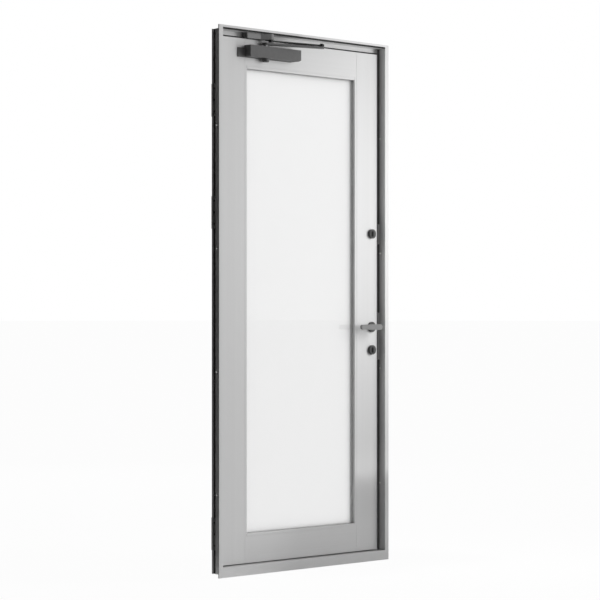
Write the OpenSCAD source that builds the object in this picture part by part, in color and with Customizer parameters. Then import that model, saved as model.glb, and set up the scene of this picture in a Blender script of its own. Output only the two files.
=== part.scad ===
// Glazed outswing door in a flanged aluminium frame, with a parallel-arm closer.
// X runs from the hinge side to the lock side, Y from the room to the outside, Z is up.
// The origin is at the bottom middle of the frame, on the plane where its flange meets the wall.
// Most pieces are drawn in frame coordinates: s across from the hinge-side flange edge,
// d outwards from the room face, z up. in_frame() carries those to the part's own axes.

/* [Frame] */
// Width over the wall flange
frame_w = 976; // [860:1:1200]
// Height over the wall flange
frame_h = 2150; // [1950:1:2500]
// Depth from the room face to the outer face
frame_depth = 55; // [53:1:60]
// Thickness of the wall flange
flange_t = 5; // [4:0.5:7]
// Room face of each jamb
jamb_face = 21; // [19:1:24]
// Room face of the head, above its seal
head_face = 9; // [7:0.5:11]
// Height of the black seal strip under the head's face
head_seal_h = 7; // [5:0.5:9]
// How far the wall flange stands out past the frame's body
body_inset = 13; // [11:0.5:14]
// Reach of the stop leg into the opening
leg_reach = 15; // [13:0.5:18]
// Thickness of the stop leg
leg_t = 12; // [9:0.5:13]
// Height of the sill
sill_h = 40; // [32:1:50]
// Wall of the frame's hollow sections
frame_wall = 3; // [2:0.25:3.5]

/* [Leaf] */
// Thickness of the leaf
leaf_t = 45; // [44:0.5:50]
// Room face of the leaf behind the room face of the frame
leaf_setback = 28; // [27:0.5:29]
// Gap between the leaf's upright edges and the stop legs
leaf_gap = 6; // [5:0.5:8]
// Gap between the top of the leaf and the stop leg of the head
head_gap = 4; // [3:0.5:7]
// Gap between the leaf and the sill
sill_gap = 4; // [3:0.5:7]
// Width of the stiles, from the leaf's edge to the glass
stile_w = 136; // [125:1:170]
// Width of the rails, from the leaf's edge to the glass
rail_w = 117; // [108:1:160]
// Reach of the outer lip past the leaf's edge
lip_reach = 11; // [10:0.5:12]
// Wall of the leaf's hollow sections
leaf_wall = 3; // [2:0.25:4]

/* [Glazing] */
// Depth of the glazing beads on the room side
stop_t = 8; // [7:0.5:10]
// Width of the glazing rebate
rebate_w = 12; // [11:0.5:16]
// Thickness of each pane
pane_t = 4; // [3:0.5:5]
// Width of the air space between the panes
air_gap = 12; // [10:0.5:12.5]
// Thickness of the gasket on each side of the glass
gasket_t = 2; // [1:0.25:2.5]
// Gap between the glass edge and the bottom of the rebate
edge_gap = 3; // [2:0.5:4]

/* [Hinges] */
// Length of each hinge barrel
hinge_h = 126; // [90:2:160]
// Radius of the barrel
barrel_r = 8; // [7:0.25:8.5]
// Radius of the hinge pin
pin_r = 4; // [3:0.25:5]
// Height of the lowest hinge above the bottom of the frame
hinge_low = 168; // [140:1:220]
// Drop from the top of the frame to the middle hinge
hinge_mid_drop = 728; // [640:1:800]
// Drop from the top of the frame to the top hinge
hinge_top_drop = 290; // [240:1:340]

/* [Lock] */
// Height of the lever
lever_z = 972; // [900:1:1100]
// Height of the upper cylinder
upper_z = 1360; // [1300:1:1500]
// Drop from the lever to the lower cylinder
cylinder_drop = 95; // [85:1:110]
// Leaf edge to the lever's axis
backset = 35; // [32:1:45]
// Length of the lever from its axis
lever_l = 115; // [100:1:130]
// How far the lever stands off the leaf
lever_out = 50; // [45:1:60]
// Radius of the lever's rose
rose_r = 21.5; // [19:0.5:26]
// Radius of the cylinder collars
collar_r = 19.5; // [17:0.5:22]
// Height of the cylinder collars off the leaf
collar_h = 11; // [9:0.5:14]

/* [Closer] */
// Length of the closer's body
closer_l = 283; // [260:1:320]
// Height of the closer's body
closer_h = 46; // [42:1:60]
// How far the closer's body stands off the leaf
closer_out = 36; // [34:1:46]
// Hinge end of the closer's body, from the hinge-side flange edge
closer_s = 163; // [155:1:180]
// Closer's spindle, from the hinge-side flange edge
spindle_s = 264; // [258:1:280]
// Gap between the top of the leaf and the top of the closer's body
closer_drop = 26; // [25:0.5:30]
// Shoe pivot, from the hinge-side flange edge
shoe_s = 279; // [276:1:290]
// Shoe pivot in front of the room face of the frame
shoe_out = 4; // [0:0.5:10]
// Thickness of the closer's main arm
arm_t = 8; // [6:0.5:9]
// Gap between the closer's body and its main arm
arm_lift = 8; // [2:0.5:8.5]
// Radius of the forearm rod
rod_r = 3.5; // [3:0.25:4]

/* [Hidden] */
$fn = 64;

// Clearances
slip = 0.3;      // between pieces that pass each other
running = 0.05;  // radial, shaft in bore
cut = 1;         // how far a cutting solid runs past a face

// Frame
leg_d = frame_depth - leg_t;
stop_s = jamb_face + leg_reach;
soffit_u = head_face + head_seal_h;
seal_strip_t = 2.5;
seal_recess = 0.5;
channel_d0 = 34;
channel_d1 = frame_depth - 5;
channel_s = jamb_face - frame_wall;
reveal_grooves = [22, 34.5];
reveal_groove_w = 2.5;
reveal_groove_deep = 1.2;
fixing_hole_r = 3.25;
fixing_hole_d = 29;
fixing_low = [320, 800];
fixing_drop = [870, 390];
fixing_holes_z = concat(fixing_low, [for (d = fixing_drop) frame_h - d]);
backing_slot_d = [20.5, 26];
backing_slot_deep = 2;

// Leaf
leaf_s = stop_s + leaf_gap;
leaf_d0 = leaf_setback;
leaf_d1 = leaf_setback + leaf_t;
leaf_z0 = sill_h + sill_gap;
leaf_z1 = frame_h - stop_s - head_gap;
lip_gap = 3;
lip_d = frame_depth + lip_gap;
lip_s = leaf_s - lip_reach;
sight_s = leaf_s + stile_w;
sight_z0 = leaf_z0 + rail_w;
sight_z1 = leaf_z1 - rail_w;
rebate_s = sight_s - rebate_w;
stop_d = leaf_d0 + stop_t;
leaf_seal_w = min(5, stop_s - lip_s);

// Glazing
glass_s = rebate_s + edge_gap;
glass_z0 = sight_z0 - rebate_w + edge_gap;
glass_z1 = sight_z1 + rebate_w - edge_gap;
glass_d = stop_d + gasket_t;
unit_t = 2 * pane_t + air_gap;
leg_face_d = glass_d + unit_t + gasket_t;
bead_ease = 1.5;
joint_ease = 0.7;
spacer_w = 7;
gasket_back = 0.5;
block_l = 100;
block_from_edge = 90;

// Hinges: the axis is in line with the lip's edge, so that the lip never dips as it turns
axis_s = lip_s;
hinge_z = [hinge_low, frame_h - hinge_mid_drop, frame_h - hinge_top_drop];
axis_d = lip_d + (leaf_d1 - lip_d) / 2 - 0.5;
knuckle_h = hinge_h / 3;
knuckle_gap = 0.3;
flap_t = 3;
flap_s = body_inset + 1;
notch_gap = 1;
pin_head_r = pin_r + 2;
pin_head_h = 3;

// Lock
lever_s = leaf_s + backset;
lower_z = lever_z - cylinder_drop;
latch_rise = 28;
latch_z = lever_z + latch_rise;
bolt_t = 8;
bolt_d = leaf_d0 + leaf_wall + 1;
bolt_l = 44;
deadbolt_h = 30;
latch_h = 20;
case_d0 = leaf_d0 + leaf_wall;
case_t = 15;
case_l = 66;
faceplate_t = leaf_wall;
faceplate_w = 20;
case_below = 60;
case_above = 50;
lock_z0 = lower_z - case_below;
lock_z1 = latch_z + case_above;
deadlock_half_h = 55;
plate_over = 20;
spindle_w = 8;
spindle_hole_r = 6.5;
cylinder_hole_r = 10;
rose_t = 8;
neck_r = 9;
lever_end_r = 10;
lever_hub_r = 12;
lever_t = 10;
plug_r = 8.5;
turn_r = 11.5;
turn_face = 4;
turn_grip = [7, 5, 20];
tail_r = 4;
keyway = [1.6, 4, 9];
strike_t = 1.5;
strike_over = 40;
latch_strike_over = 30;

// Closer: hinge axis, spindle, elbow and shoe pivot are the corners of a parallelogram
closer_z1 = leaf_z1 - closer_drop;
closer_z0 = closer_z1 - closer_h;
spindle_d = leaf_d0 - closer_out / 2;
spindle_r = 8;
shoe_d = -shoe_out;
elbow_s = shoe_s + spindle_s - axis_s;
elbow_d = shoe_d + spindle_d - axis_d;
arm_z = closer_z1 + arm_lift;
arm_hub_r = 15;
elbow_r = 10;
elbow_pin_r = 4;
forearm_z = arm_z + arm_t + 0.5;
eye_t = 2 * rod_r + 2;
shoe_pad_t = 22;
shoe_z1 = frame_h - soffit_u;
shoe_block_l = 90;
shoe_block_d = [12, leg_d - 3];
shoe_tail = 114;
shoe_block_s = shoe_s - shoe_tail;
shoe_eye_z = shoe_z1 - shoe_pad_t - 0.5;
nut_r = 7;
nut_h = 2.5;
spindle_nut_h = 1.5;
closer_chamfer = 6;
cap_r = closer_out / 2;
cap_h = 14;
plate_reach = 38;
plate_h = 37;
plate_below = 2;
plate_t = 4;
plate_end = 24;

// Colours
satin = [0.78, 0.78, 0.78];
bronze_grey = [0.33, 0.33, 0.34];
rubber = [0.07, 0.07, 0.07];
steel = [0.6, 0.6, 0.62];
clear = [0.85, 0.9, 0.9, 0.3];

// Carries frame coordinates (s, d, z) to the part's own axes
module in_frame() {
    translate([-frame_w / 2, -flange_t, 0]) children();
}

// The same, counted from the lock side
module in_lock_frame() {
    mirror([1, 0, 0]) in_frame() children();
}

// A solid between two corners, each [s, d, z]
module box(low, high) {
    translate(low) cube(high - low);
}

// A profile of [d, z] points, run across the opening from s0 to s1
module run_across(s0, s1) {
    translate([s0, 0, 0]) rotate([90, 0, 90]) linear_extrude(s1 - s0) children();
}

// A round bar along d, from d0 to d1
module across_leaf(s, z, d0, d1, r) {
    translate([s, d0, z]) rotate([-90, 0, 0]) cylinder(h = d1 - d0, r = r);
}

// A round rod between two points
module rod(p, q, r) {
    v = q - p;
    translate(p) rotate([0, acos(v[2] / norm(v)), atan2(v[1], v[0])]) cylinder(h = norm(v), r = r);
}

// Flat outline of a bar with two round ends, r1 at p and r2 at q
module link_outline(p, q, r1, r2) {
    v = q - p;
    a = atan2(v[1], v[0]);
    b = acos((r1 - r2) / norm(v));
    translate(p) circle(r1);
    translate(q) circle(r2);
    polygon([
        p + r1 * [cos(a + b), sin(a + b)], p + r1 * [cos(a - b), sin(a - b)],
        q + r2 * [cos(a - b), sin(a - b)], q + r2 * [cos(a + b), sin(a + b)]
    ]);
}

// Section of a jamb, in s and d
module jamb_section() {
    difference() {
        polygon([
            [0, 0], [jamb_face, 0], [jamb_face, leg_d], [stop_s, leg_d], [stop_s, frame_depth],
            [body_inset, frame_depth], [body_inset, channel_d1], [channel_s, channel_d1],
            [channel_s, channel_d0], [body_inset, channel_d0], [body_inset, flange_t], [0, flange_t]
        ]);
        for (d = reveal_grooves)
            translate([jamb_face - reveal_groove_deep, d]) square([2 * reveal_groove_deep, reveal_groove_w]);
        translate([jamb_face + frame_wall, leg_d + frame_wall])
            square([leg_reach - 2 * frame_wall, leg_t - 2 * frame_wall]);
    }
}

// A jamb, coped at both ends so that the head and the sill fit against it
module jamb() {
    difference() {
        linear_extrude(frame_h) jamb_section();
        for (z = [-cut, frame_h - body_inset])
            box([-cut, flange_t, z], [jamb_face + cut, frame_depth + cut, z + body_inset + cut]);
        box([jamb_face, -cut, -cut], [stop_s + cut, frame_depth + cut, sill_h]);
        box([jamb_face, -cut, frame_h - stop_s], [stop_s + cut, frame_depth + cut, frame_h + cut]);
        for (z = fixing_holes_z)
            translate([-cut, fixing_hole_d, z]) rotate([0, 90, 0])
                cylinder(h = jamb_face + 2 * cut, r = fixing_hole_r);
    }
}

module hinge_jamb() {
    color(satin) in_frame() difference() {
        jamb();
        for (z = hinge_z)
            box([body_inset - cut, backing_slot_d[0], z - hinge_h / 2],
                [body_inset + backing_slot_deep, backing_slot_d[1], z + hinge_h / 2]);
    }
}

module lock_jamb() {
    color(satin) in_lock_frame() jamb();
}

// Section of the head, in d and distance down from the top
module head_section() {
    difference() {
        polygon([
            [0, 0], [0, head_face], [seal_recess + seal_strip_t, head_face],
            [seal_recess + seal_strip_t, soffit_u], [leg_d, soffit_u], [leg_d, stop_s],
            [frame_depth, stop_s], [frame_depth, body_inset], [flange_t, body_inset], [flange_t, 0]
        ]);
        translate([leg_d + frame_wall, soffit_u + frame_wall])
            square([leg_t - 2 * frame_wall, stop_s - soffit_u - 2 * frame_wall]);
    }
}

module frame_head() {
    color(satin) in_frame() translate([0, 0, frame_h])
        run_across(jamb_face, frame_w - jamb_face) mirror([0, 1]) head_section();
}

module frame_sill() {
    color(satin) in_frame() run_across(jamb_face, frame_w - jamb_face) difference() {
        polygon([
            [0, 0], [0, sill_h], [frame_depth, sill_h], [frame_depth, body_inset],
            [flange_t, body_inset], [flange_t, 0]
        ]);
        translate([flange_t + frame_wall, body_inset + frame_wall])
            square([frame_depth - flange_t - 2 * frame_wall, sill_h - body_inset - 2 * frame_wall]);
    }
}

module head_seal() {
    color(rubber) in_frame()
        box([jamb_face, seal_recess, frame_h - soffit_u],
            [frame_w - jamb_face, seal_recess + seal_strip_t, frame_h - head_face]);
}

// Steel plate in the jamb's outer channel that the hinge screws bite into
module hinge_backing_plate(z) {
    color(bronze_grey) in_frame()
        box([body_inset + 1, channel_d0 + 2, z - hinge_h / 2],
            [channel_s, channel_d1 - 2, z + hinge_h / 2]);
}

module barrel(z, h) {
    translate([axis_s, axis_d, z]) cylinder(h = h, r = barrel_r);
}

module barrel_bore(z) {
    translate([axis_s, axis_d, z - hinge_h / 2 - cut]) cylinder(h = hinge_h + 2 * cut, r = pin_r + running);
}

// Flap on the frame's outer face, with the upper and lower knuckles
module hinge_frame_half(z) {
    color(bronze_grey) in_frame() difference() {
        union() {
            box([flap_s, frame_depth, z - hinge_h / 2],
                [axis_s - barrel_r - 0.5, frame_depth + flap_t, z + hinge_h / 2]);
            for (z0 = [z - hinge_h / 2, z + hinge_h / 2 - knuckle_h]) {
                barrel(z0, knuckle_h);
                box([axis_s - barrel_r - cut, frame_depth, z0], [axis_s, axis_d - pin_r, z0 + knuckle_h]);
            }
        }
        barrel_bore(z);
    }
}

module hinge_pin(z) {
    color(steel) in_frame() translate([axis_s, axis_d, z - hinge_h / 2]) {
        cylinder(h = hinge_h, r = pin_r);
        translate([0, 0, hinge_h]) cylinder(h = pin_head_h, r = pin_head_r);
    }
}

// Middle knuckle, with the flap that seats on the leaf's edge
module hinge_leaf_half(z) {
    z0 = z - knuckle_h / 2 + knuckle_gap;
    z1 = z + knuckle_h / 2 - knuckle_gap;
    color(bronze_grey) in_frame() difference() {
        union() {
            barrel(z0, z1 - z0);
            box([axis_s, axis_d - pin_r, z0], [leaf_s, axis_d + pin_r, z1]);
            box([leaf_s - 2, lip_d + 1, z0], [leaf_s, leaf_d1, z1]);
        }
        barrel_bore(z);
    }
}

// Plate on the stop leg that the bolts bear against
module strike(z0, z1) {
    color(steel) in_lock_frame() box([jamb_face + 1, leg_d - strike_t, z0], [stop_s, leg_d, z1]);
}

module lock_strike() {
    strike(lower_z - strike_over, latch_z + latch_strike_over);
}

module deadbolt_strike() {
    strike(upper_z - strike_over, upper_z + strike_over);
}

// Soffit shoe that carries the forearm's pivot
module closer_shoe() {
    pivot = [shoe_s, shoe_d];
    root = [shoe_block_s + shoe_block_l - 12, shoe_block_d[0] + 14];
    color(bronze_grey) in_frame() {
        box([shoe_block_s, shoe_block_d[0], shoe_z1 - shoe_pad_t],
            [shoe_block_s + shoe_block_l, shoe_block_d[1], shoe_z1]);
        translate([0, 0, shoe_z1 - shoe_pad_t]) linear_extrude(shoe_pad_t) link_outline(root, pivot, 13, 11);
        translate([shoe_s, shoe_d, shoe_eye_z - eye_t])
            cylinder(h = eye_t + shoe_pad_t / 2, r = elbow_pin_r);
    }
}

// Section of a stile, in s and d: hollow body, outer lip and glazing rebate
module stile_section() {
    difference() {
        polygon([
            [leaf_s, leaf_d0], [rebate_s, leaf_d0], [rebate_s, leg_face_d], [sight_s, leg_face_d],
            [sight_s, leaf_d1], [lip_s, leaf_d1], [lip_s, lip_d], [leaf_s, lip_d]
        ]);
        translate([leaf_s + leaf_wall, leaf_d0 + leaf_wall])
            square([rebate_s - leaf_s - 2 * leaf_wall, leaf_t - 2 * leaf_wall]);
    }
}

// A stile runs the leaf's full height, and only its lip reaches past the body
module stile() {
    low = leaf_z0 - lip_reach;
    difference() {
        translate([0, 0, low]) linear_extrude(leaf_z1 - leaf_z0 + 2 * lip_reach) stile_section();
        for (z = [low - cut, leaf_z1])
            box([lip_s - cut, leaf_d0 - cut, z], [sight_s + cut, lip_d, z + lip_reach + cut]);
    }
}

module hinge_stile() {
    half = hinge_h / 2 + pin_head_h + notch_gap;
    color(satin) in_frame() difference() {
        stile();
        for (z = hinge_z)
            box([lip_s - cut, frame_depth, z - half], [leaf_s, leaf_d1 + cut, z + half]);
    }
}

// Room for a lock: its faceplate in the stile's edge, and holes through both faces
module lock_cuts(z0, z1) {
    d = bolt_d + bolt_t / 2;
    box([leaf_s - cut, d - faceplate_w / 2 + 3, z0 - plate_over - slip],
        [leaf_s + leaf_wall + cut, d + faceplate_w / 2 + 3, z1 + plate_over + slip]);
}

module lock_stile() {
    color(satin) in_lock_frame() difference() {
        stile();
        lock_cuts(lock_z0, lock_z1);
        lock_cuts(upper_z - deadlock_half_h, upper_z + deadlock_half_h);
        across_leaf(lever_s, lever_z, leaf_d0 - cut, leaf_d1 + cut, spindle_hole_r);
        for (z = [upper_z, lower_z])
            across_leaf(lever_s, z, leaf_d0 - cut, leaf_d1 + cut, cylinder_hole_r);
    }
}

// Section of a rail, in d and distance from the leaf's edge
module rail_section() {
    difference() {
        polygon([
            [leaf_d0, 0], [leaf_d0, rail_w - rebate_w], [leg_face_d, rail_w - rebate_w],
            [leg_face_d, rail_w], [leaf_d1, rail_w], [leaf_d1, -lip_reach], [lip_d, -lip_reach], [lip_d, 0]
        ]);
        translate([leaf_d0 + leaf_wall, leaf_wall])
            square([leaf_t - 2 * leaf_wall, rail_w - rebate_w - 2 * leaf_wall]);
    }
}

// A rail butts against the stiles with a fine groove at the joint, and is cut back for their fixed legs
module rail() {
    difference() {
        run_across(rebate_s, frame_w - rebate_s) rail_section();
        for (s = [rebate_s - cut, frame_w - sight_s])
            box([s, leg_face_d, -lip_reach - cut], [s + rebate_w + cut, leaf_d1 + cut, rail_w + cut]);
        for (s = [rebate_s - cut, frame_w - rebate_s - joint_ease])
            box([s, leaf_d0 - cut, -cut], [s + joint_ease + cut, leaf_d0 + joint_ease, rail_w + cut]);
    }
}

module bottom_rail() {
    color(satin) in_frame() translate([0, 0, leaf_z0]) rail();
}

module top_rail() {
    color(satin) in_frame() translate([0, 0, leaf_z1]) mirror([0, 0, 1]) rail();
}

// A flat ring round the glass: outer edge at the given inset from the rebate, w wide, from d0 to d1
module glass_ring(inset, w, d0, d1) {
    s = rebate_s + inset;
    z0 = sight_z0 - rebate_w + inset;
    z1 = sight_z1 + rebate_w - inset;
    difference() {
        box([s, d0, z0], [frame_w - s, d1, z1]);
        box([s + w, d0 - cut, z0 + w], [frame_w - s - w, d1 + cut, z1 - w]);
    }
}

module pane(d) {
    color(clear) in_frame() box([glass_s, d, glass_z0], [frame_w - glass_s, d + pane_t, glass_z1]);
}

module glass_inner() {
    pane(glass_d);
}

module glass_outer() {
    pane(glass_d + pane_t + air_gap);
}

module glass_spacer() {
    color(steel) in_frame() glass_ring(edge_gap, spacer_w, glass_d + pane_t, glass_d + pane_t + air_gap);
}

module setting_blocks() {
    color(rubber) in_frame()
        for (s = [glass_s + block_from_edge, frame_w - glass_s - block_from_edge - block_l])
            box([s, glass_d, glass_z0 - edge_gap], [s + block_l, glass_d + unit_t, glass_z0]);
}

module glazing_gasket_inner() {
    color(rubber) in_frame() glass_ring(edge_gap, rebate_w - edge_gap - gasket_back, stop_d, glass_d);
}

module glazing_gasket_outer() {
    color(rubber) in_frame()
        glass_ring(edge_gap, rebate_w - edge_gap - gasket_back, leg_face_d - gasket_t, leg_face_d);
}

// Section of a bead, in d and distance from the rebate, with its sight edge eased
module bead_section() {
    polygon([
        [leaf_d0 + joint_ease, 0], [leaf_d0, joint_ease], [leaf_d0, rebate_w - bead_ease],
        [leaf_d0 + bead_ease, rebate_w], [stop_d, rebate_w], [stop_d, 0]
    ]);
}

// Side beads run the full height of the opening
module side_bead() {
    low = sight_z0 - rebate_w;
    translate([rebate_s, 0, low]) linear_extrude(sight_z1 + rebate_w - low)
        rotate(90) mirror([0, 1]) bead_section();
}

module glazing_bead_hinge() {
    color(satin) in_frame() side_bead();
}

module glazing_bead_lock() {
    color(satin) in_lock_frame() side_bead();
}

module flat_bead() {
    run_across(sight_s, frame_w - sight_s) bead_section();
}

module glazing_bead_top() {
    color(satin) in_frame() translate([0, 0, sight_z1 + rebate_w]) mirror([0, 0, 1]) flat_bead();
}

module glazing_bead_bottom() {
    color(satin) in_frame() translate([0, 0, sight_z0 - rebate_w]) flat_bead();
}

// Weather seal on the room side of the lip, broken at the hinges
module leaf_seal() {
    d0 = frame_depth + slip;
    z0 = leaf_z0 - lip_reach;
    z1 = leaf_z1 + lip_reach;
    half = hinge_h / 2 + pin_head_h + notch_gap;
    color(rubber) in_frame() difference() {
        box([lip_s, d0, z0], [frame_w - lip_s, lip_d, z1]);
        box([lip_s + leaf_seal_w, d0 - cut, z0 + leaf_seal_w],
            [frame_w - lip_s - leaf_seal_w, lip_d + cut, z1 - leaf_seal_w]);
        for (z = hinge_z)
            box([lip_s - cut, d0 - cut, z - half], [leaf_s, lip_d + cut, z + half]);
    }
}

// Channel that a bolt runs in, through the faceplate and into the case
module bolt_channel(z, h) {
    box([leaf_s - cut, bolt_d - slip, z - h / 2 - slip],
        [leaf_s + bolt_l + slip, bolt_d + bolt_t + slip, z + h / 2 + slip]);
}

module case_box(z0, z1) {
    box([leaf_s + faceplate_t, case_d0, z0], [leaf_s + case_l, case_d0 + case_t, z1]);
}

module lock_case() {
    color(steel) in_lock_frame() difference() {
        case_box(lock_z0, lock_z1);
        bolt_channel(latch_z, latch_h);
        bolt_channel(lower_z, deadbolt_h);
        across_leaf(lever_s, lever_z, case_d0 - cut, case_d0 + case_t + cut, spindle_hole_r);
        across_leaf(lever_s, lower_z, case_d0 - cut, case_d0 + case_t + cut, tail_r + slip);
    }
}

module deadlock_case() {
    color(steel) in_lock_frame() difference() {
        case_box(upper_z - deadlock_half_h, upper_z + deadlock_half_h);
        bolt_channel(upper_z, deadbolt_h);
        across_leaf(lever_s, upper_z, case_d0 - cut, case_d0 + case_t + cut, tail_r + slip);
    }
}

module faceplate(z0, z1) {
    d = bolt_d + bolt_t / 2 + 3;
    box([leaf_s, d - faceplate_w / 2 + slip, z0 - plate_over],
        [leaf_s + faceplate_t, d + faceplate_w / 2 - slip, z1 + plate_over]);
}

module lock_faceplate() {
    color(steel) in_lock_frame() difference() {
        faceplate(lock_z0, lock_z1);
        bolt_channel(latch_z, latch_h);
        bolt_channel(lower_z, deadbolt_h);
    }
}

module deadlock_faceplate() {
    color(steel) in_lock_frame() difference() {
        faceplate(upper_z - deadlock_half_h, upper_z + deadlock_half_h);
        bolt_channel(upper_z, deadbolt_h);
    }
}

// A bolt, drawn back flush with the leaf's edge and notched for the turn's tailpiece
module deadbolt(z) {
    color(steel) in_lock_frame() difference() {
        box([leaf_s, bolt_d, z - deadbolt_h / 2], [leaf_s + bolt_l, bolt_d + bolt_t, z + deadbolt_h / 2]);
        box([lever_s - tail_r - 2, bolt_d - cut, z - tail_r - 2],
            [leaf_s + bolt_l + cut, bolt_d + bolt_t + cut, z + tail_r + 2]);
    }
}

module deadbolt_upper() {
    deadbolt(upper_z);
}

module deadbolt_lower() {
    deadbolt(lower_z);
}

// Spring latch, held back, with its outer corner bevelled for closing
module latch_bolt() {
    low = latch_z - latch_h / 2;
    color(steel) in_lock_frame() translate([0, 0, low]) linear_extrude(latch_h) polygon([
        [leaf_s, bolt_d + bolt_t], [leaf_s + bolt_t, bolt_d], [leaf_s + bolt_l, bolt_d],
        [leaf_s + bolt_l, bolt_d + bolt_t]
    ]);
}

// Places a piece of the leaf's room side on the outside as well
module on_side(outside) {
    if (outside) translate([0, leaf_d0 + leaf_d1, 0]) mirror([0, 1, 0]) children();
    else children();
}

module lever_rose(outside) {
    color(bronze_grey) in_lock_frame() on_side(outside) difference() {
        union() {
            across_leaf(lever_s, lever_z, leaf_d0 - rose_t + 1, leaf_d0, rose_r);
            across_leaf(lever_s, lever_z, leaf_d0 - rose_t, leaf_d0, rose_r - 1);
        }
        across_leaf(lever_s, lever_z, leaf_d0 - rose_t - cut, leaf_d0 + cut, neck_r + running);
    }
}

module lever(outside) {
    grip_d0 = leaf_d0 - lever_out - lever_t / 2;
    color(bronze_grey) in_lock_frame() on_side(outside) difference() {
        union() {
            across_leaf(lever_s, lever_z, grip_d0, leaf_d0 - 1, neck_r);
            translate([lever_s, grip_d0 + lever_t, lever_z]) rotate([90, 0, 0]) linear_extrude(lever_t)
                link_outline([0, 0], [lever_l - lever_end_r, 0], lever_hub_r, lever_end_r);
        }
        translate([lever_s, 0, lever_z])
            cube([spindle_w + 2 * slip, 2 * (leaf_d0 - rose_t - slip), spindle_w + 2 * slip], center = true);
        box([lever_s - spindle_w / 2 - slip, -cut, lever_z - spindle_w / 2 - slip],
            [lever_s + spindle_w / 2 + slip, leaf_d0 + cut, lever_z + spindle_w / 2 + slip]);
    }
}

module lever_spindle() {
    reach = 1;
    color(steel) in_lock_frame()
        box([lever_s - spindle_w / 2, reach, lever_z - spindle_w / 2],
            [lever_s + spindle_w / 2, leaf_d0 + leaf_d1 - reach, lever_z + spindle_w / 2]);
}

// Ring round a lock cylinder
module collar(z, outside) {
    color(bronze_grey) in_lock_frame() on_side(outside) difference() {
        union() {
            across_leaf(lever_s, z, leaf_d0 - collar_h + 1, leaf_d0, collar_r);
            across_leaf(lever_s, z, leaf_d0 - collar_h, leaf_d0, collar_r - 1);
        }
        across_leaf(lever_s, z, leaf_d0 - collar_h - cut, leaf_d0 + cut, turn_r + running);
    }
}

// Thumb turn in the collar, with a tailpiece that drives the bolt
module turn(z) {
    face_d = leaf_d0 - collar_h - 1;
    color(bronze_grey) in_lock_frame() {
        across_leaf(lever_s, z, face_d, face_d + turn_face, turn_r);
        translate([lever_s, face_d, z]) cube([turn_grip[0], 2 * turn_grip[1], turn_grip[2]], center = true);
        across_leaf(lever_s, z, face_d, case_d0 + case_t - 1, tail_r);
    }
}

// Key plug in the outer collar, with its keyway
module key_plug(z) {
    color(steel) in_lock_frame() on_side(true) difference() {
        across_leaf(lever_s, z, leaf_d0 - collar_h + 1, leaf_d0, turn_r - running);
        translate([lever_s, leaf_d0 - collar_h + 1, z])
            cube([keyway[0], 2 * keyway[1], keyway[2]], center = true);
    }
}

// Closer's body on its mounting plate, which reaches out towards the hinges
module closer_body() {
    s1 = closer_s + closer_l;
    c = closer_chamfer;
    color(bronze_grey) in_frame() difference() {
        union() {
            translate([0, leaf_d0, 0]) rotate([90, 0, 0]) linear_extrude(closer_out) polygon([
                [closer_s, closer_z0 + c / 2], [closer_s, closer_z1], [s1, closer_z1], [s1, closer_z0 + c],
                [s1 - 2 * c, closer_z0], [closer_s + c / 2, closer_z0]
            ]);
            box([closer_s - plate_reach, leaf_d0 - plate_t, closer_z0 - plate_below],
                [s1 - plate_end, leaf_d0, closer_z0 - plate_below + plate_h]);
        }
        translate([spindle_s, spindle_d, closer_z0 - cut])
            cylinder(h = closer_h + 2 * cut, r = spindle_r + running);
    }
}

module closer_pinion_cap() {
    in = plate_t + 0.5;
    color(bronze_grey) in_frame() translate([spindle_s, spindle_d, closer_z0 - cap_h]) {
        cylinder(h = cap_h, r = cap_r - in);
        translate([0, 0, cap_h / 3]) cylinder(h = cap_h * 2 / 3, r = cap_r - plate_t);
    }
}

module closer_spindle() {
    color(steel) in_frame() translate([spindle_s, spindle_d, closer_z0 + 1]) {
        cylinder(h = arm_z + arm_t - closer_z0 - 1, r = spindle_r - running);
        translate([0, 0, arm_z + arm_t - closer_z0 - 1])
            cylinder(h = spindle_nut_h, r = spindle_r + 2, $fn = 6);
    }
}

// Main arm, on the spindle at one end and with the elbow pin at the other
module main_arm() {
    color(bronze_grey) in_frame() {
        difference() {
            translate([0, 0, arm_z]) linear_extrude(arm_t)
                link_outline([spindle_s, spindle_d], [elbow_s, elbow_d], arm_hub_r, elbow_r);
            translate([spindle_s, spindle_d, arm_z - cut]) cylinder(h = arm_t + 2 * cut, r = spindle_r);
        }
        translate([elbow_s, elbow_d, arm_z]) cylinder(h = forearm_z + eye_t + slip - arm_z, r = elbow_pin_r);
        translate([elbow_s, elbow_d, forearm_z + eye_t + slip]) cylinder(h = nut_h, r = nut_r, $fn = 6);
    }
}

// An eye round a vertical pin
module eye(s, d, z) {
    translate([s, d, z]) cylinder(h = eye_t, r = elbow_r);
}

module eye_bore(s, d, z, clearance) {
    translate([s, d, z - cut]) cylinder(h = eye_t + 2 * cut, r = elbow_pin_r + clearance);
}

// Forearm: a straight rod between the shoe's eye and the elbow's
module forearm() {
    shoe = [shoe_s, shoe_d];
    elbow = [elbow_s, elbow_d];
    along = (elbow - shoe) / norm(elbow - shoe);
    start = shoe + (elbow_pin_r + 3) * along;
    stop = elbow - (elbow_pin_r + 3) * along;
    color(steel) in_frame() difference() {
        union() {
            eye(shoe_s, shoe_d, shoe_eye_z - eye_t);
            eye(elbow_s, elbow_d, forearm_z);
            rod([start[0], start[1], shoe_eye_z - eye_t / 2],
                [stop[0], stop[1], forearm_z + eye_t / 2], rod_r);
        }
        eye_bore(shoe_s, shoe_d, shoe_eye_z - eye_t, running);
        eye_bore(elbow_s, elbow_d, forearm_z, slip);
    }
}

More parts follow.
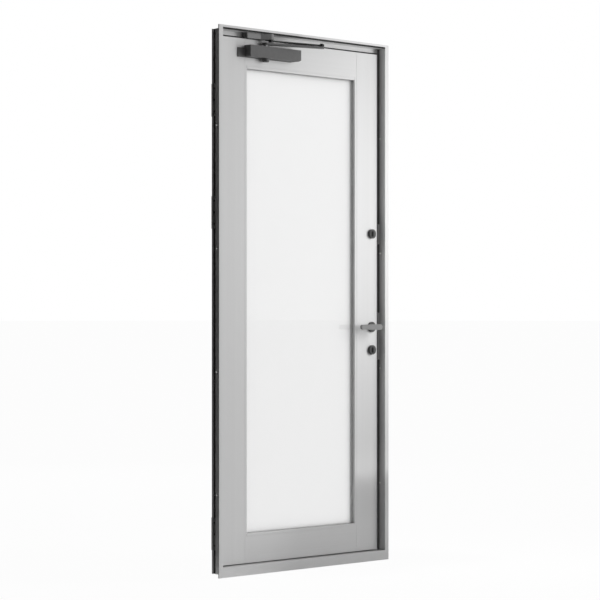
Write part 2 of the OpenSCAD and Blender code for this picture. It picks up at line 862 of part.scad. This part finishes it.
hinge_jamb();
lock_jamb();
frame_head();
frame_sill();
head_seal();
hinge_backing_plate(hinge_z[0]);  // hinge_backing_plate_1
hinge_backing_plate(hinge_z[1]);  // hinge_backing_plate_2
hinge_backing_plate(hinge_z[2]);  // hinge_backing_plate_3
hinge_frame_half(hinge_z[0]);  // hinge_frame_half_1
hinge_frame_half(hinge_z[1]);  // hinge_frame_half_2
hinge_frame_half(hinge_z[2]);  // hinge_frame_half_3
hinge_pin(hinge_z[0]);  // hinge_pin_1
hinge_pin(hinge_z[1]);  // hinge_pin_2
hinge_pin(hinge_z[2]);  // hinge_pin_3
hinge_leaf_half(hinge_z[0]);  // hinge_leaf_half_1
hinge_leaf_half(hinge_z[1]);  // hinge_leaf_half_2
hinge_leaf_half(hinge_z[2]);  // hinge_leaf_half_3
lock_strike();
deadbolt_strike();
closer_shoe();
hinge_stile();
lock_stile();
top_rail();
bottom_rail();
glass_inner();
glass_outer();
glass_spacer();
setting_blocks();
glazing_gasket_inner();
glazing_gasket_outer();
glazing_bead_hinge();
glazing_bead_lock();
glazing_bead_top();
glazing_bead_bottom();
leaf_seal();
lock_case();
lock_faceplate();
deadlock_case();
deadlock_faceplate();
lever_rose(false);  // lever_rose_inside
lever_rose(true);  // lever_rose_outside
collar(upper_z, false);  // upper_collar_inside
collar(upper_z, true);  // upper_collar_outside
collar(lower_z, false);  // lower_collar_inside
collar(lower_z, true);  // lower_collar_outside
key_plug(upper_z);  // upper_key_plug
key_plug(lower_z);  // lower_key_plug
closer_body();
closer_pinion_cap();
lever(false);  // lever_inside
lever(true);  // lever_outside
lever_spindle();
latch_bolt();
deadbolt_upper();
deadbolt_lower();
turn(upper_z);  // turn_upper
turn(lower_z);  // turn_lower
main_arm();
closer_spindle();
forearm();
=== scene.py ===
import math

import bmesh
import bpy
from mathutils import Matrix, Vector

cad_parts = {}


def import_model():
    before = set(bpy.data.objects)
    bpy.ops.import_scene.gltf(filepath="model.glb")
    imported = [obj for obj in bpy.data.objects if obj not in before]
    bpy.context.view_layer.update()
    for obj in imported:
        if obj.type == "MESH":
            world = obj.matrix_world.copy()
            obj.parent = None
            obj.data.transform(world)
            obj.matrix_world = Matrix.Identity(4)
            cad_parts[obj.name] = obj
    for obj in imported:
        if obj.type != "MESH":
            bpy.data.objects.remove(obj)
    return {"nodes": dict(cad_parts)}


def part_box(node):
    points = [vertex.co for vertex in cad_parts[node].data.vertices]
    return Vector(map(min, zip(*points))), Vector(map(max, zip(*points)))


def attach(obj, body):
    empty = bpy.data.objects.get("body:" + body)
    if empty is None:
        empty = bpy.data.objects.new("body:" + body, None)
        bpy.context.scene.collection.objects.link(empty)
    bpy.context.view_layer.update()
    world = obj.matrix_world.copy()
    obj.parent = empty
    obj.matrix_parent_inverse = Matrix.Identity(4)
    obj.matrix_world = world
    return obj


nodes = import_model()["nodes"]
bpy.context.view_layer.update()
scene = bpy.context.scene
scene.view_settings.view_transform = "Standard"


# Materials

# Noise frequency along x, y and z: low along the brushing, high across it
UP = (420.0, 420.0, 3.0)
ACROSS = (3.0, 420.0, 420.0)
TURNED = (60.0, 60.0, 900.0)
GRAIN = (900.0, 900.0, 900.0)
PANE = (4.0, 4.0, 4.0)

# The part of the noise's span that is used, and the broad noise's scale and share in the colour
NOISE_LOW = 0.3
NOISE_HIGH = 0.7
NOISE_ROUGHNESS = 0.65
FINE_DETAIL = 6.0
BROAD_DETAIL = 2.0
BROAD = 0.06
BROAD_SHARE = 0.45

GRAIN_DEPTH = 0.0002
EDGE_SAMPLES = 4
GLASS_IOR = 1.5
MILK_FACE_ROUGH = (0.05, 0.08)


def grey(level):
    return (level, level, level, 1.0)


def new_material(name):
    m = bpy.data.materials.new(name)
    m.use_nodes = True
    return m, m.node_tree, m.node_tree.nodes["Principled BSDF"]


def streaks(tree, scale, detail):
    """Noise, stretched along the brushing."""
    co = tree.nodes.new("ShaderNodeTexCoord")
    mapping = tree.nodes.new("ShaderNodeMapping")
    mapping.inputs["Scale"].default_value = scale
    noise = tree.nodes.new("ShaderNodeTexNoise")
    noise.inputs["Scale"].default_value = 1.0
    noise.inputs["Detail"].default_value = detail
    noise.inputs["Roughness"].default_value = NOISE_ROUGHNESS
    tree.links.new(co.outputs["Object"], mapping.inputs["Vector"])
    tree.links.new(mapping.outputs["Vector"], noise.inputs["Vector"])
    return noise.outputs["Fac"]


def shade(tree, source, low, high, socket):
    """Base colour between two greys."""
    ramp = tree.nodes.new("ShaderNodeValToRGB")
    first, last = ramp.color_ramp.elements
    first.position = NOISE_LOW
    first.color = grey(low)
    last.position = NOISE_HIGH
    last.color = grey(high)
    tree.links.new(source, ramp.inputs["Fac"])
    tree.links.new(ramp.outputs["Color"], socket)


def vary(tree, source, low, high, socket):
    """A value between two limits."""
    span = tree.nodes.new("ShaderNodeMapRange")
    span.inputs["From Min"].default_value = NOISE_LOW
    span.inputs["From Max"].default_value = NOISE_HIGH
    span.inputs["To Min"].default_value = low
    span.inputs["To Max"].default_value = high
    tree.links.new(source, span.inputs["Value"])
    tree.links.new(span.outputs["Result"], socket)


def relief(tree, source, strength, radius, socket):
    """Relief from the grain, over edges that are slightly rounded."""
    bevel = tree.nodes.new("ShaderNodeBevel")
    bevel.samples = EDGE_SAMPLES
    bevel.inputs["Radius"].default_value = radius
    bump = tree.nodes.new("ShaderNodeBump")
    bump.inputs["Strength"].default_value = strength
    bump.inputs["Distance"].default_value = GRAIN_DEPTH
    tree.links.new(source, bump.inputs["Height"])
    tree.links.new(bevel.outputs["Normal"], bump.inputs["Normal"])
    tree.links.new(bump.outputs["Normal"], socket)


def finish_coat(name, tone, scale, rough, metallic, strength=0.12, radius=0.0006):
    """A metal, paint or rubber with its grain in colour, roughness and relief."""
    m, tree, b = new_material(name)
    fine = streaks(tree, scale, FINE_DETAIL)
    mix = tree.nodes.new("ShaderNodeMix")
    mix.data_type = "FLOAT"
    mix.inputs[0].default_value = BROAD_SHARE
    tree.links.new(fine, mix.inputs[2])
    tree.links.new(streaks(tree, tuple(s * BROAD for s in scale), BROAD_DETAIL), mix.inputs[3])
    shade(tree, mix.outputs[0], *tone, b.inputs["Base Color"])
    vary(tree, fine, *rough, b.inputs["Roughness"])
    b.inputs["Metallic"].default_value = metallic
    relief(tree, fine, strength, radius, b.inputs["Normal"])
    return m


def clear_glass(name, tint, rough):
    m, tree, b = new_material(name)
    b.inputs["Base Color"].default_value = grey(tint)
    b.inputs["Transmission Weight"].default_value = 1.0
    b.inputs["IOR"].default_value = GLASS_IOR
    vary(tree, streaks(tree, PANE, BROAD_DETAIL), *rough, b.inputs["Roughness"])
    return m


def milk_glass(name, white, gloss):
    """Milky glass, which passes the light behind it under a polished face."""
    m, tree, b = new_material(name)
    tree.nodes.remove(b)
    milk = tree.nodes.new("ShaderNodeBsdfTranslucent")
    milk.inputs["Color"].default_value = grey(white)
    face = tree.nodes.new("ShaderNodeBsdfGlossy")
    face.inputs["Color"].default_value = grey(white)
    vary(tree, streaks(tree, PANE, BROAD_DETAIL), *MILK_FACE_ROUGH, face.inputs["Roughness"])
    mix = tree.nodes.new("ShaderNodeMixShader")
    mix.inputs["Fac"].default_value = gloss
    tree.links.new(milk.outputs["BSDF"], mix.inputs[1])
    tree.links.new(face.outputs["BSDF"], mix.inputs[2])
    tree.links.new(mix.outputs["Shader"], tree.nodes["Material Output"].inputs["Surface"])
    return m


ALUMINIUM = {"tone": (0.69, 0.74), "rough": (0.38, 0.50), "metallic": 0.55}
RUBBER = {"scale": GRAIN, "metallic": 0.0, "strength": 0.2, "radius": 0.0004}
alu_up = finish_coat("aluminium_upright", scale=UP, **ALUMINIUM)
alu_across = finish_coat("aluminium_across", scale=ACROSS, **ALUMINIUM)
steel = finish_coat("hardware_steel", tone=(0.34, 0.46), scale=TURNED, rough=(0.28, 0.42), metallic=0.9)
lever_metal = finish_coat("lever_satin_nickel", tone=(0.20, 0.27), scale=ACROSS, rough=(0.30, 0.42),
                          metallic=0.6)
dark = finish_coat("dark_hardware", tone=(0.12, 0.145), scale=GRAIN, rough=(0.42, 0.55), metallic=0.15,
                   strength=0.18, radius=0.0009)
ring_metal = finish_coat("dark_collars", tone=(0.055, 0.085), scale=GRAIN, rough=(0.30, 0.42), metallic=0.4,
                         strength=0.1, radius=0.0008)
black_gloss = finish_coat("forearm_black", tone=(0.012, 0.020), scale=GRAIN, rough=(0.16, 0.24),
                          metallic=0.0, strength=0.03)
black_screw = finish_coat("screw_black", tone=(0.030, 0.050), scale=GRAIN, rough=(0.35, 0.50), metallic=0.4)
rubber = finish_coat("black_rubber", tone=(0.010, 0.022), rough=(0.60, 0.80), **RUBBER)
# Dark grey of the lock side's rabbet seal, set this dark partly as painted shade of the channel
seal_grey_painted_shade = finish_coat("seal_grey_painted_shade", tone=(0.105, 0.155), rough=(0.55, 0.75), **RUBBER)
glass_milky = milk_glass("glass_milky", white=0.912, gloss=0.05)
glass_clear = clear_glass("glass_clear", tint=0.985, rough=(0.0, 0.012))

# Nodes by material; all others are steel
HINGES = ("1", "2", "3")
SIDES = ("inside", "outside")
LOOK = {
    alu_up: ["hinge_jamb", "lock_jamb", "hinge_stile", "lock_stile",
             "glazing_bead_hinge", "glazing_bead_lock"],
    alu_across: ["frame_head", "frame_sill", "top_rail", "bottom_rail",
                 "glazing_bead_top", "glazing_bead_bottom"],
    rubber: ["head_seal", "setting_blocks", "leaf_seal", "glazing_gasket_inner", "glazing_gasket_outer"],
    glass_clear: ["glass_inner"],
    glass_milky: ["glass_outer"],
    dark: ["closer_body", "closer_pinion_cap", "main_arm"],
    black_gloss: ["forearm"],
    lever_metal: ["lever_inside", "lever_outside", "closer_shoe"],
    ring_metal: ["turn_upper", "turn_lower"],
}
for half in ("hinge_frame_half_", "hinge_leaf_half_"):
    LOOK[dark] += [half + i for i in HINGES]
for cover in ("lever_rose_", "upper_collar_", "lower_collar_"):
    LOOK[ring_metal] += [cover + side for side in SIDES]
look_of = {name: m for m, names in LOOK.items() for name in names}
for name, obj in nodes.items():
    obj.data.materials.clear()
    obj.data.materials.append(look_of.get(name, steel))


# Small pieces

TURNS = 28
SPLIT_ANGLE = math.radians(35)

# A screw's head and its hexagonal socket, as shares of the head's radius and height
SOCKET = 0.48
SOCKET_SIDES = 6
SCREW_HEAD = ((1.0, 0.0), (1.0, 0.35), (0.86, 0.85), (0.62, 1.0), (SOCKET, 1.0))
SCREW_SOCKET = ((SOCKET, 1.0), (SOCKET, 0.25), (0.0, 0.2))


def place(name, bm, material, body):
    """Turn the mesh into an object that rides on a body."""
    mesh = bpy.data.meshes.new(name)
    bm.normal_update()
    bm.to_mesh(mesh)
    bm.free()
    mesh.materials.append(material)
    for p in mesh.polygons:
        p.use_smooth = True
    o = bpy.data.objects.new(name, mesh)
    bpy.context.collection.objects.link(o)
    o.modifiers.new("split", "EDGE_SPLIT").split_angle = SPLIT_ANGLE
    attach(o, body)


def ring(bm, to_place, r, h, turns):
    """Points of one circle of a turned shape, or its single point on the axis."""
    if r == 0:
        return [bm.verts.new(to_place @ Vector((0, 0, h)))]
    angles = [2 * math.pi * k / turns for k in range(turns)]
    return [bm.verts.new(to_place @ Vector((r * math.cos(a), r * math.sin(a), h))) for a in angles]


def lathe(bm, profile, at, axis, turns=TURNS):
    """A turned shape: profile is a list of (radius, height) along axis from the point at."""
    turn = Vector((0, 0, 1)).rotation_difference(Vector(axis)).to_matrix().to_4x4()
    to_place = Matrix.Translation(Vector(at)) @ turn
    rings = [ring(bm, to_place, r, h, turns) for r, h in profile]
    for a, b in zip(rings, rings[1:]):
        for k in range(turns):
            j = (k + 1) % turns
            corners = [a[k], a[j], b[0]] if len(b) == 1 else [a[k], a[j], b[j], b[k]]
            bm.faces.new(corners)


def screws(name, points, axis, body, r, h):
    """Round heads with a hexagonal socket, of radius r, standing h proud."""
    bm = bmesh.new()
    head = [(r * across, h * up) for across, up in SCREW_HEAD]
    socket = [(r * across, h * up) for across, up in SCREW_SOCKET]
    for p in points:
        lathe(bm, head, p, axis)
        lathe(bm, socket, p, axis, SOCKET_SIDES)
    place(name, bm, black_screw, body)


# Hinges: four screws through each flap, three through the plate behind it
FLAP_T = 0.003
FLAP_SCREW_IN = 0.0045
FLAP_SCREWS_Z = (-0.050, -0.017, 0.017, 0.050)
PLATE_SCREWS_Z = (-0.045, 0.0, 0.045)
jamb_lo, jamb_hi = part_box("hinge_jamb")
for i in HINGES:
    lo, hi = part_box("hinge_frame_half_" + i)
    mid = (lo.z + hi.z) / 2
    points = [(lo.x + FLAP_SCREW_IN, jamb_hi.y + FLAP_T, mid + d) for d in FLAP_SCREWS_Z]
    screws("hinge_flap_screws_" + i, points, (0, 1, 0), "frame", r=0.0035, h=0.0012)
    lo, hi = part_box("hinge_backing_plate_" + i)
    points = [(lo.x, (lo.y + hi.y) / 2, mid + d) for d in PLATE_SCREWS_Z]
    screws("backing_plate_screws_" + i, points, (-1, 0, 0), "frame", r=0.0035, h=0.0009)

# Lock: two screws in each strike and faceplate, one grub screw under each lever's neck
STRIKES = ("lock_strike", "deadbolt_strike")
STRIKE_SCREW_END = 0.012
FACEPLATE_SCREW_END = 0.009
NECK_R = 0.0088
GRUB_OUT = 0.022
for strike in STRIKES:
    lo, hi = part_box(strike)
    points = [((lo.x + hi.x) / 2, lo.y, z) for z in (lo.z + STRIKE_SCREW_END, hi.z - STRIKE_SCREW_END)]
    screws(strike + "_screws", points, (0, -1, 0), "frame", r=0.0033, h=0.0008)
for plate in ("lock_faceplate", "deadlock_faceplate"):
    lo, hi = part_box(plate)
    points = [(hi.x, (lo.y + hi.y) / 2, z) for z in (lo.z + FACEPLATE_SCREW_END, hi.z - FACEPLATE_SCREW_END)]
    screws(plate + "_screws", points, (1, 0, 0), "leaf", r=0.0035, h=0.0008)
room_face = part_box("top_rail")[0].y
outer_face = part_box("top_rail")[1].y
for side, y in zip(SIDES, (room_face - GRUB_OUT, outer_face + GRUB_OUT)):
    lo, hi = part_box("lever_rose_" + side)
    points = [((lo.x + hi.x) / 2, y, (lo.z + hi.z) / 2 - NECK_R)]
    screws("lever_" + side + "_grub", points, (0, 0, -1), "lever", r=0.0024, h=0.0005)

# Closer: two valves in its free end, two screws up through the shoe
VALVE_IN = 0.016
VALVE = [(0.0052, 0.0), (0.0052, 0.0010), (0.0044, 0.0016), (0.0022, 0.0016), (0.0020, 0.0004), (0, 0.0004)]
SHOE_SCREWS_X = (0.014, 0.045)
SHOE_SCREW_IN = 0.014
SHOE_DROP = 0.038
lo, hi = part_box("closer_body")
valves = bmesh.new()
for z in (lo.z + VALVE_IN, hi.z - VALVE_IN):
    lathe(valves, VALVE, (hi.x, (lo.y + hi.y) / 2, z), (1, 0, 0))
place("closer_valves", valves, steel, "leaf")
head_lo, head_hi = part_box("frame_head")
shoe_lo, shoe_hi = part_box("closer_shoe")
points = [(shoe_lo.x + d, shoe_hi.y - SHOE_SCREW_IN, head_hi.z - SHOE_DROP) for d in SHOE_SCREWS_X]
screws("shoe_screws", points, (0, 0, -1), "frame", r=0.005, h=0.0014)


# Rubber strips

# A strip's section, as shares of its width and height
STRIP_SECTION = (
    (0.0, 0.0), (0.0, 0.6), (0.12, 0.88), (0.3, 1.0),
    (0.7, 1.0), (0.88, 0.88), (1.0, 0.6), (1.0, 0.0),
)


def strip(bm, corner, along, across, out):
    """A domed strip from a corner; along, across and out are its length, width and height as vectors."""
    ends = []
    for start in (Vector(corner), Vector(corner) + Vector(along)):
        ends.append([bm.verts.new(start + Vector(across) * t + Vector(out) * h) for t, h in STRIP_SECTION])
        bm.faces.new(ends[-1])
    a, b = ends
    for k in range(len(a)):
        bm.faces.new([a[k - 1], a[k], b[k], b[k - 1]])


def strips(name, rows, material=rubber):
    bm = bmesh.new()
    for row in rows:
        strip(bm, *row)
    bmesh.ops.recalc_face_normals(bm, faces=bm.faces)
    place(name, bm, material, "frame")


def pairs(stops):
    """Stretches between the first and second stop, the third and fourth, and so on."""
    stops = sorted(stops)
    return list(zip(stops[::2], stops[1::2]))


# Black strips in the jambs' outer channels, as painted shade of those channels, broken at the hinges'
# backing plates
CHANNEL_IN = 0.018
SHADE_TAPE_Y = (0.036, 0.048)
SHADE_TAPE_T = 0.0015
SHADE_TAPE_END = 0.015


def shade_tape(name, side, stops):
    """Strips on the floor of one jamb's channel; side is -1 at the hinges and 1 at the lock."""
    floor = side * (-jamb_lo.x - CHANNEL_IN)
    y0, y1 = (jamb_lo.y + y for y in SHADE_TAPE_Y)
    across, out = (0, y1 - y0, 0), (side * SHADE_TAPE_T, 0, 0)
    strips(name, [((floor, y0, a), (0, 0, b - a), across, out) for a, b in pairs(stops)])


shade_tape_ends = [jamb_lo.z + SHADE_TAPE_END, jamb_hi.z - SHADE_TAPE_END]
plate_ends = [end.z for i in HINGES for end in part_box("hinge_backing_plate_" + i)]
shade_tape("hinge_jamb_shade_tape", -1, shade_tape_ends + plate_ends)
shade_tape("lock_jamb_shade_tape", 1, shade_tape_ends)

# Seals in the rabbet, their dark partly real seal and partly painted shade of the gaps: one in the lock
# side's corner, clear of the strikes, and one over the leaf's top, clear of the closer's shoe
SHADE_SEAL_W = 0.011
SHADE_SEAL_T = 0.0025
TOP_SHADE_SEAL_H = 0.0035
TOP_SHADE_SEAL_T = 0.0015
SHADE_SEAL_ROOM = 0.002
leg_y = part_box("lock_strike")[1].y
stops = [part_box("frame_sill")[1].z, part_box("head_seal")[0].z]
for strike in STRIKES:
    lo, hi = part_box(strike)
    stops += [lo.z - SHADE_SEAL_ROOM, hi.z + SHADE_SEAL_ROOM]
across, out = (0, SHADE_SEAL_W, 0), (-SHADE_SEAL_T, 0, 0)
rows = [((head_hi.x, leg_y - SHADE_SEAL_W, a), (0, 0, b - a), across, out) for a, b in pairs(stops)]
strips("lock_rabbet_shade_seal", rows, seal_grey_painted_shade)
# The strip over the leaf's top is black partly as painted shade of the gap under the head
stops = [head_lo.x, shoe_lo.x - SHADE_SEAL_ROOM, shoe_hi.x + SHADE_SEAL_ROOM, head_hi.x - SHADE_SEAL_T - SHADE_SEAL_ROOM]
across, out = (0, 0, TOP_SHADE_SEAL_H), (0, -TOP_SHADE_SEAL_T, 0)
rows = [((a, leg_y, head_lo.z), (b - a, 0, 0), across, out) for a, b in pairs(stops)]
strips("head_rabbet_shade_seal", rows)


# Floor, backdrop and light

FLOOR_HALF = 400.0
FLOOR_Z = -0.001
FLOOR_GREY = 0.9
FLOOR_ROUGH = 0.9
FLOOR_WHITE = 0.97
FLOOR_IN_METAL = 0.5
FLAG_GREY = 0.01
WORLD_LIGHT = 0.22
WORLD_WHITE = 1.0


def math_node(tree, operation, first, second):
    """Two values joined; the second is a socket or a number."""
    node = tree.nodes.new("ShaderNodeMath")
    node.operation = operation
    tree.links.new(first, node.inputs[0])
    if isinstance(second, float):
        node.inputs[1].default_value = second
    else:
        tree.links.new(second, node.inputs[1])
    return node.outputs[0]


def seen_rays(tree, seen, in_metal):
    """How white a surface is to rays from the camera or through glass, and to rays off metal."""
    path = tree.nodes.new("ShaderNodeLightPath")
    direct = math_node(tree, "MAXIMUM", path.outputs["Is Camera Ray"], path.outputs["Is Transmission Ray"])
    mirrored = math_node(tree, "MULTIPLY", path.outputs["Is Glossy Ray"], in_metal)
    return math_node(tree, "MAXIMUM", math_node(tree, "MULTIPLY", direct, seen), mirrored)


def mix_shaders(tree, fac, first, second, surface):
    mix = tree.nodes.new("ShaderNodeMixShader")
    tree.links.new(fac, mix.inputs["Fac"])
    tree.links.new(first, mix.inputs[1])
    tree.links.new(second, mix.inputs[2])
    tree.links.new(mix.outputs["Shader"], surface)


def floor_material():
    """White to the eye, with a trace of the object's shadow."""
    m, tree, b = new_material("pale_floor")
    b.inputs["Base Color"].default_value = grey(FLOOR_GREY)
    b.inputs["Roughness"].default_value = FLOOR_ROUGH
    b.inputs["Specular IOR Level"].default_value = 0.0
    glow = tree.nodes.new("ShaderNodeEmission")
    glow.inputs["Color"].default_value = grey(1.0)
    surface = tree.nodes["Material Output"].inputs["Surface"]
    seen = seen_rays(tree, FLOOR_WHITE, FLOOR_IN_METAL)
    mix_shaders(tree, seen, b.outputs["BSDF"], glow.outputs["Emission"], surface)
    return m


def flag_material():
    """Black, but clear to what comes through the glass."""
    m, tree, b = new_material("black_flag")
    b.inputs["Base Color"].default_value = grey(FLAG_GREY)
    b.inputs["Roughness"].default_value = 1.0
    path = tree.nodes.new("ShaderNodeLightPath")
    clear = tree.nodes.new("ShaderNodeBsdfTransparent")
    surface = tree.nodes["Material Output"].inputs["Surface"]
    mix_shaders(tree, path.outputs["Is Transmission Ray"], b.outputs["BSDF"], clear.outputs["BSDF"], surface)
    return m


def plane(name, corners, material):
    mesh = bpy.data.meshes.new(name)
    mesh.from_pydata(corners, [], [(0, 1, 2, 3)])
    mesh.materials.append(material)
    o = bpy.data.objects.new(name, mesh)
    bpy.context.collection.objects.link(o)
    return o


around = [(-1, -1), (1, -1), (1, 1), (-1, 1)]
plane("floor", [(x * FLOOR_HALF, y * FLOOR_HALF, FLOOR_Z) for x, y in around], floor_material())

# Black flags at the left, which darken the faces that look that way: two points on the floor, and the top
FLAG_BACK = ((-7.0, 0.6), (-1.2, 6.4), 6.0)
FLAG_FRONT = ((-1.6, -2.4), (-1.3, -0.05), 3.0)
black = flag_material()


def stand(name, start, stop, top):
    """A flag that stands on the floor between two points."""
    (ax, ay), (bx, by) = start, stop
    flag = plane(name, [(ax, ay, 0), (bx, by, 0), (bx, by, top), (ax, ay, top)], black)
    flag.visible_camera = False


stand("black_flag_back", *FLAG_BACK)
stand("black_flag_front", *FLAG_FRONT)

# A black cloth on the floor, from the door to the flag behind it, which only shows in the metal
CLOTH_NEAR = ((-3.0, -0.6), (-0.6, 0.1))
near_start, near_stop = CLOTH_NEAR
back_start, back_stop = FLAG_BACK[:2]
cloth = plane("black_cloth", [(*p, 0) for p in (near_stop, back_stop, back_start, near_start)], black)
cloth.visible_camera = False
cloth.visible_diffuse = False
cloth.visible_shadow = False

# A card under the key lamp, which dims the foot of the lock side
CARD_X = (0.15, 0.95)
CARD_Y = (-0.5, -0.05)
CARD_Z = 0.4
(x0, x1), (y0, y1) = CARD_X, CARD_Y
card = plane("key_card", [(x0, y0, CARD_Z), (x1, y0, CARD_Z), (x1, y1, CARD_Z), (x0, y1, CARD_Z)], black)
card.visible_camera = False
card.visible_glossy = False


def studio_world():
    """Soft light, which is white to the eye and in metal and glass."""
    world = bpy.data.worlds.new("studio")
    world.use_nodes = True
    tree = world.node_tree
    tree.nodes.clear()
    levels = []
    for strength in (WORLD_LIGHT, WORLD_WHITE):
        background = tree.nodes.new("ShaderNodeBackground")
        background.inputs["Color"].default_value = grey(1.0)
        background.inputs["Strength"].default_value = strength
        levels.append(background.outputs["Background"])
    surface = tree.nodes.new("ShaderNodeOutputWorld").inputs["Surface"]
    mix_shaders(tree, seen_rays(tree, 1.0, 1.0), *levels, surface)
    return world


scene.world = studio_world()


def area_lamp(name, at, target, size, power):
    """A lamp that lights the object and is seen neither directly nor in metal or glass."""
    lamp = bpy.data.lights.new(name, "AREA")
    lamp.shape = "RECTANGLE"
    lamp.size, lamp.size_y = size
    lamp.energy = power
    o = bpy.data.objects.new(name, lamp)
    bpy.context.collection.objects.link(o)
    o.location = at
    o.rotation_euler = (Vector(target) - Vector(at)).to_track_quat("-Z", "Y").to_euler()
    o.visible_camera = False
    o.visible_glossy = False
    o.visible_transmission = False


area_lamp("key", at=(1.15, -1.05, 1.5), target=(0.1, 0.0, 1.3), size=(0.5, 1.2), power=34.0)
area_lamp("fill_back", at=(3.0, 5.0, 3.0), target=(0.0, 0.0, 1.0), size=(3.0, 3.0), power=60.0)


# Camera, from a perspective fit of the photograph

SENSOR_W = 36.0
LENS = 134.68
SHIFT_Y = 0.0273
CAMERA_AT = (-6.4737, -6.3267, 1.0163)
CAMERA_TURN_DEG = (90, 0, -45.5)
camera_data = bpy.data.cameras.new("camera")
camera_data.sensor_width = SENSOR_W
camera_data.lens = LENS
camera_data.shift_y = SHIFT_Y
camera = bpy.data.objects.new("camera", camera_data)
bpy.context.collection.objects.link(camera)
camera.location = CAMERA_AT
camera.rotation_euler = [math.radians(a) for a in CAMERA_TURN_DEG]
scene.camera = camera
